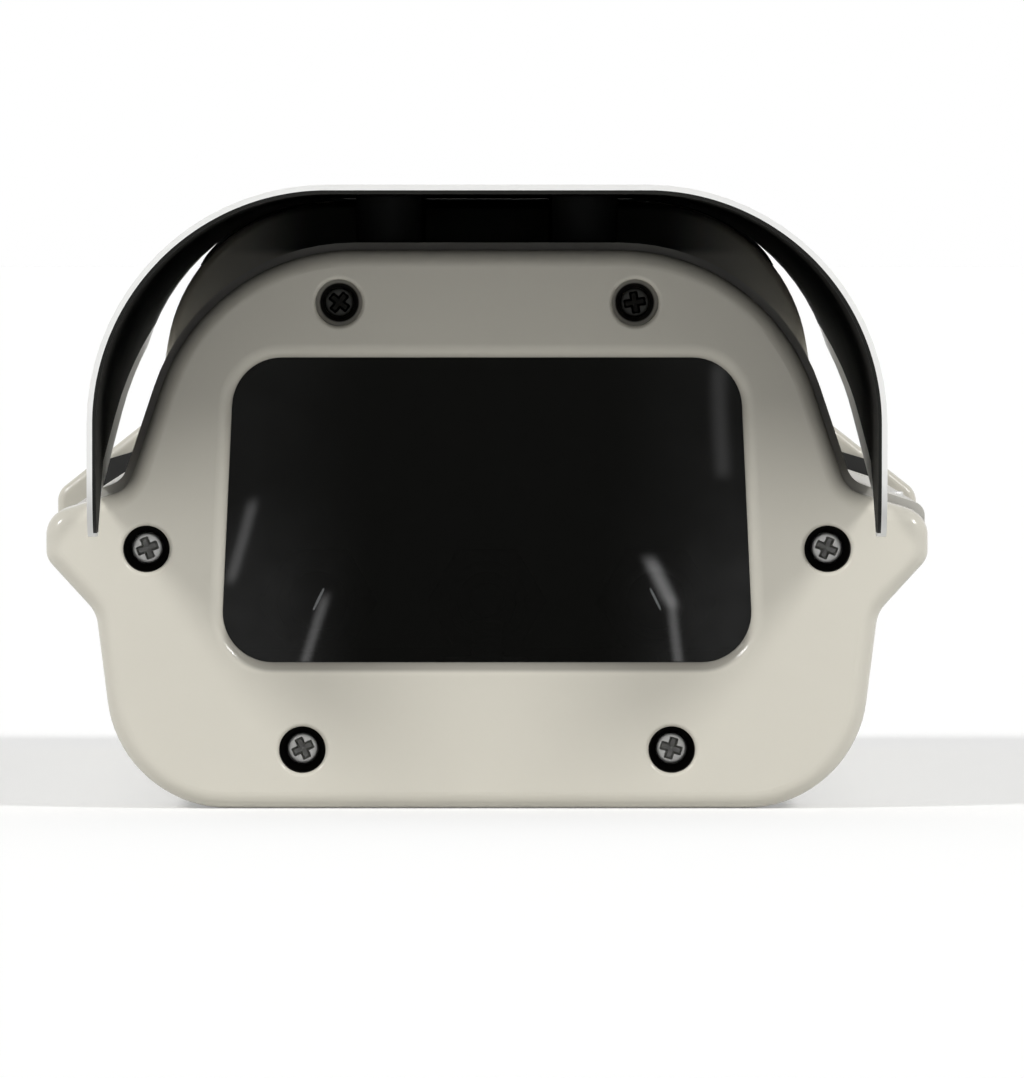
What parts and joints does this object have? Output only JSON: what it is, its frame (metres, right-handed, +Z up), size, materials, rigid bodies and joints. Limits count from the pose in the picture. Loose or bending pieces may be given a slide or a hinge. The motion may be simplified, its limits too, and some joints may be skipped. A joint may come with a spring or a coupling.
{
  "type": "security camera housing",
  "caption": "Outdoor camera housing: window front, side hinged lid, sunshield, camera tray and rear cable entries.",
  "frame": {"origin": "middle of the four mounting holes, on the flat underside, half way along the housing", "axes": "+Z up, +Y from the window to the rear, +X to the right seen from the front"},
  "size_m": [0.171, 0.415, 0.1123],
  "materials": {
    "cap_paint": "glossy warm grey enamel on die-cast aluminium",
    "body_paint": "satin light grey powder coat on extruded aluminium",
    "shield_paint": "white powder coat outside, black inside, on bent sheet",
    "window_glass": "polished flat glass",
    "black_rubber": "matt black rubber",
    "inner_black": "matt black paint on aluminium",
    "screw_steel": "bright stainless steel",
    "black_nylon": "black moulded nylon",
    "gland_plastic": "grey moulded nylon",
    "nylon": "natural nylon"
  },
  "bodies": {
    "housing": {"front_cap": "cap_paint", "rear_cap": "cap_paint", "collar_pad": "black_rubber", "lower_body": "body_paint", "window_glass": "window_glass", "glass_seal": "black_rubber", "glass_frame": "inner_black", "glass_frame_screws": "screw_steel", "front_gasket": "black_rubber", "front_bulkhead": "inner_black", "front_screws": "screw_steel", "lid_gasket": "black_rubber", "hinge_pin": "screw_steel", "rear_gasket": "black_rubber", "rear_screws": "screw_steel", "gland_bodies": "gland_plastic", "gland_caps": "gland_plastic", "gland_seals": "black_rubber", "gland_locknuts": "gland_plastic", "camera_tray": "inner_black", "tray_screws": "screw_steel"},
    "lid": {"upper_cover": "body_paint", "sunshield": "shield_paint", "shield_spacers": "black_nylon", "shield_screws": "screw_steel", "shield_nuts": "screw_steel", "captive_washer_front": "nylon", "captive_washer_rear": "nylon"},
    "captive_front": {"captive_screw_front": "screw_steel"},
    "captive_rear": {"captive_screw_rear": "screw_steel"},
    "camera_fixing": {"camera_screw": "screw_steel", "camera_washer": "nylon"}
  },
  "joints": [
    {"name": "lid_hinge", "type": "hinge", "parent": "housing", "child": "lid", "pos_m": [-0.0747, 0, 0.0499], "axis": [0, -1, 0], "range_deg": [0, 95]},
    {"name": "captive_screw_front_turn", "type": "hinge", "parent": "lid", "child": "captive_front", "pos_m": [0.0735, -0.095, 0.053], "axis": [0, 0, 1], "continuous": true},
    {"name": "captive_screw_rear_turn", "type": "hinge", "parent": "lid", "child": "captive_rear", "pos_m": [0.0735, 0.095, 0.053], "axis": [0, 0, 1], "continuous": true},
    {"name": "camera_screw_slide", "type": "slide", "parent": "housing", "child": "camera_fixing", "axis": [0, 1, 0], "range_m": [-0.08, 0.08]}
  ]
}
